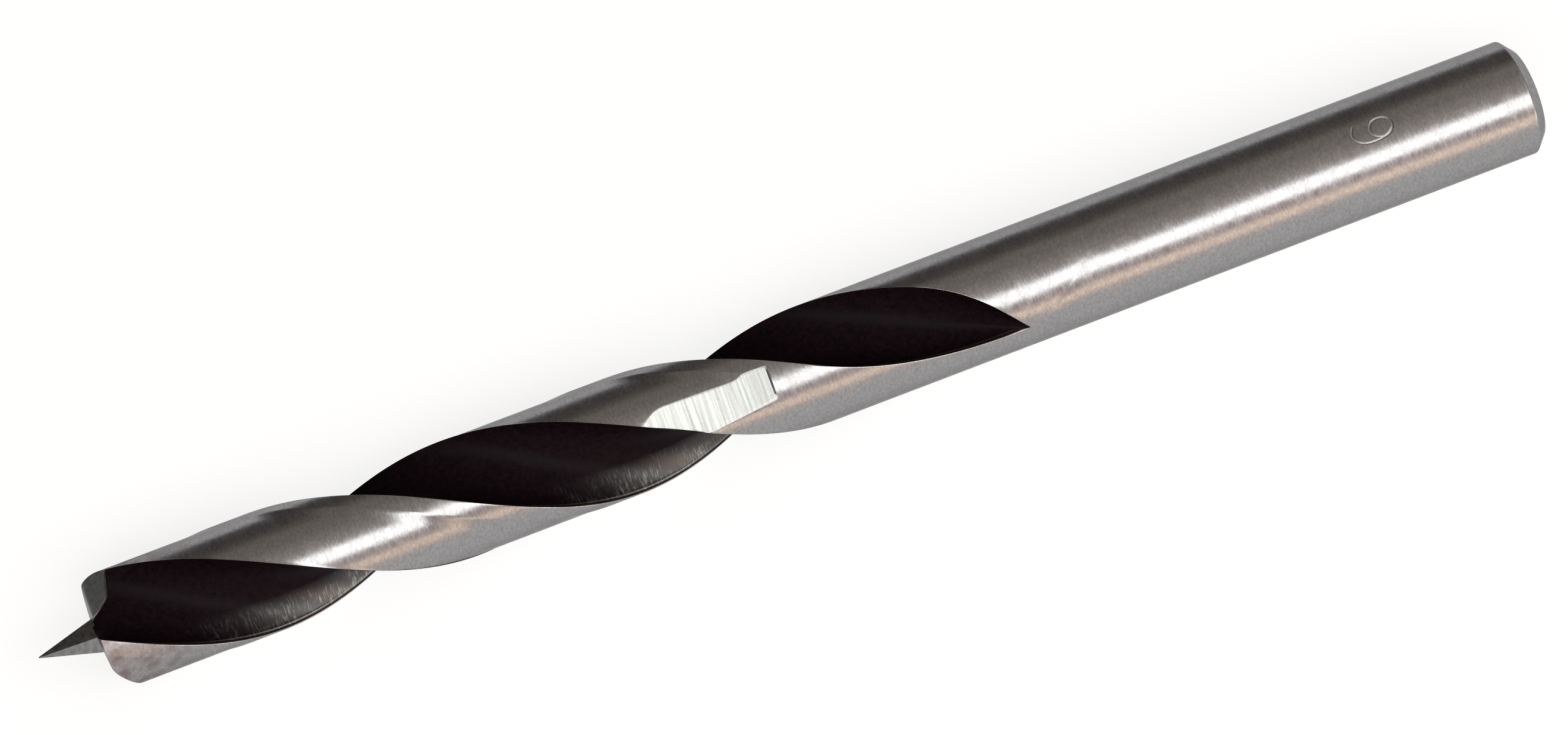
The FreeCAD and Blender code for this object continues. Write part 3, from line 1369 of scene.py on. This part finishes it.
@dataclass(frozen=True)
class Studio:
    """The pale floor, the soft light, the room and the camera, in metres and degrees.

    The light stands light_angle above the near horizon about the bit's axis and covers
    light_width of it. The room's colours go from the near horizon over the top to the far
    one, and room_levels scale them from the point's side to the shank's.
    """

    floor_size: float = 6.0
    floor_paint: Colour = (0.22, 0.22, 0.22)
    floor_glow: float = 0.82
    light_angle: float = 52.2
    light_width: float = 23.2
    light_level: float = 3.6
    light_colour: Colour = (0.97, 1.0, 0.97)
    light_distance: float = 1.2
    light_length: float = 2.4
    light_aside: float = 0.16
    room_colours: tuple[tuple[float, Colour], ...] = (
        (0.00, (0.72, 0.62, 0.58)),
        (0.035, (2.10, 1.66, 1.35)),
        (0.09, (2.35, 1.90, 1.50)),
        (0.125, (1.00, 0.80, 0.74)),
        (0.17, (0.62, 0.52, 0.53)),
        (0.37, (0.70, 0.62, 0.58)),
        (0.46, (0.58, 0.52, 0.47)),
        (0.55, (0.46, 0.42, 0.37)),
        (0.60, (0.37, 0.33, 0.30)),
        (0.70, (0.38, 0.345, 0.29)),
        (0.76, (0.21, 0.19, 0.155)),
        (0.80, (0.145, 0.125, 0.110)),
        (0.92, (0.12, 0.107, 0.107)),
        (0.965, (0.13, 0.125, 0.13)),
        (0.99, (0.29, 0.29, 0.31)),
    )
    room_levels: tuple[tuple[float, float], ...] = (
        (0.0, 0.15), (0.3, 0.45), (0.58, 1.0), (0.72, 1.4), (0.86, 2.2), (0.95, 0.7),
    )
    sensor: float = 36.0
    lens: float = 186.9
    clip_end: float = 20.0
    eye: tuple[float, float, float] = (-0.09998, -0.23674, 0.55337)
    look: tuple[float, float, float] = (0.16395, 0.39148, -0.90546)

    def floor(self) -> bpy.types.Object:
        """Adds the floor, which glows only where it is seen and not as a light.

        Returns:
            The floor.
        """
        deselect()
        bpy.ops.mesh.primitive_plane_add(size=self.floor_size, location=(0.0, 0.0, 0.0))
        plane = bpy.context.object
        plane.name = "floor"
        material = bpy.data.materials.new("pale_floor")
        material.use_nodes = True
        tree = Tree(material.node_tree)
        tree.nodes.clear()
        out = tree.add("OutputMaterial")
        path = tree.add("LightPath")
        seen = tree.math("MAXIMUM", path.outputs["Is Camera Ray"], path.outputs["Is Glossy Ray"])
        seen = tree.math("MAXIMUM", seen, path.outputs["Is Transmission Ray"])
        paint = tree.add("BsdfDiffuse", self.floor_paint)
        glow = tree.add("Emission", WHITE, tree.math("MULTIPLY", seen, self.floor_glow))
        both = tree.add("AddShader", paint.outputs[0], glow.outputs[0])
        tree.join(both.outputs[0], out.inputs["Surface"])
        plane.data.materials.append(material)
        return plane

    def key_light(self) -> bpy.types.Object:
        """Adds the long soft light that lies along the bit.

        Returns:
            The light.
        """
        span = 2.0 * self.light_distance * math.tan(math.radians(self.light_width / 2.0))
        a = math.radians(self.light_angle)
        place = self.light_distance * Vector((self.light_aside, -math.cos(a), math.sin(a)))
        data = bpy.data.lights.new("key_light", "AREA")
        data.shape = "RECTANGLE"
        data.size = self.light_length
        data.size_y = span
        data.energy = self.light_level * math.pi * self.light_length * span
        data.color = self.light_colour
        light = bpy.data.objects.new("key_light", data)
        bpy.context.scene.collection.objects.link(light)
        light.location = place
        aim = Vector((place.x, 0.0, 0.0)) - place
        light.rotation_euler = aim.to_track_quat("-Z", "Y").to_euler()
        return light

    def world(self) -> None:
        """Makes the room: bright and warm low in front, and dark towards the far side."""
        world = bpy.data.worlds.new("room")
        bpy.context.scene.world = world
        world.use_nodes = True
        tree = Tree(world.node_tree)
        tree.nodes.clear()
        out = tree.add("OutputWorld")
        ray = tree.add("TexCoord").outputs["Generated"]
        near = tree.math("MULTIPLY", tree.axis(ray, "Y"), -1.0)
        turn = tree.math("ARCTAN2", tree.axis(ray, "Z"), near)
        colour = tree.ramp(tree.math("DIVIDE", turn, math.pi), self.room_colours)
        aside = tree.add("MapRange", tree.axis(ray, "X"), -1.0)
        levels = tuple((at, (level, level, level)) for at, level in self.room_levels)
        level = tree.ramp(aside.outputs[0], levels)
        light = tree.add("VectorMath", colour, level, operation="MULTIPLY")
        back = tree.add("Background", light.outputs[0])
        tree.join(back.outputs[0], out.inputs["Surface"])

    def camera(self) -> None:
        """Sets up the camera at the photograph's angle."""
        data = bpy.data.cameras.new("camera")
        data.sensor_width = self.sensor
        data.lens = self.lens
        data.clip_end = self.clip_end
        camera = bpy.data.objects.new("camera", data)
        bpy.context.scene.collection.objects.link(camera)
        camera.location = self.eye
        camera.rotation_euler = Vector(self.look).to_track_quat("-Z", "Y").to_euler()
        bpy.context.scene.camera = camera


def main() -> None:
    """Builds the scene."""
    logging.basicConfig(level=logging.INFO, format="%(name)s: %(message)s")
    finishes = [
        GroundSteel("ground_steel"),
        BlackFlute("black_flute"),
        WheelFlat("wheel_flat"),
        GroundPoint("ground_point"),
        # The end faces' copy of the point's finish is much darker: painted shade.
        GroundPoint("end_painted_shade", colour=(0.062, 0.062, 0.060), dark=(0.034, 0.033, 0.033)),
    ]
    bit = DrillBit(BitSizes(), Columns(), finishes)
    piece = bit.build()
    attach(piece, "root")
    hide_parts(NODE)
    LOG.info("%s: %d vertices, %d faces", piece.name, len(piece.data.vertices),
             len(piece.data.polygons))
    studio = Studio()
    studio.floor()
    studio.key_light()
    studio.world()
    studio.camera()
    bpy.context.scene.view_settings.view_transform = "Standard"


if __name__ == "__main__":
    main()
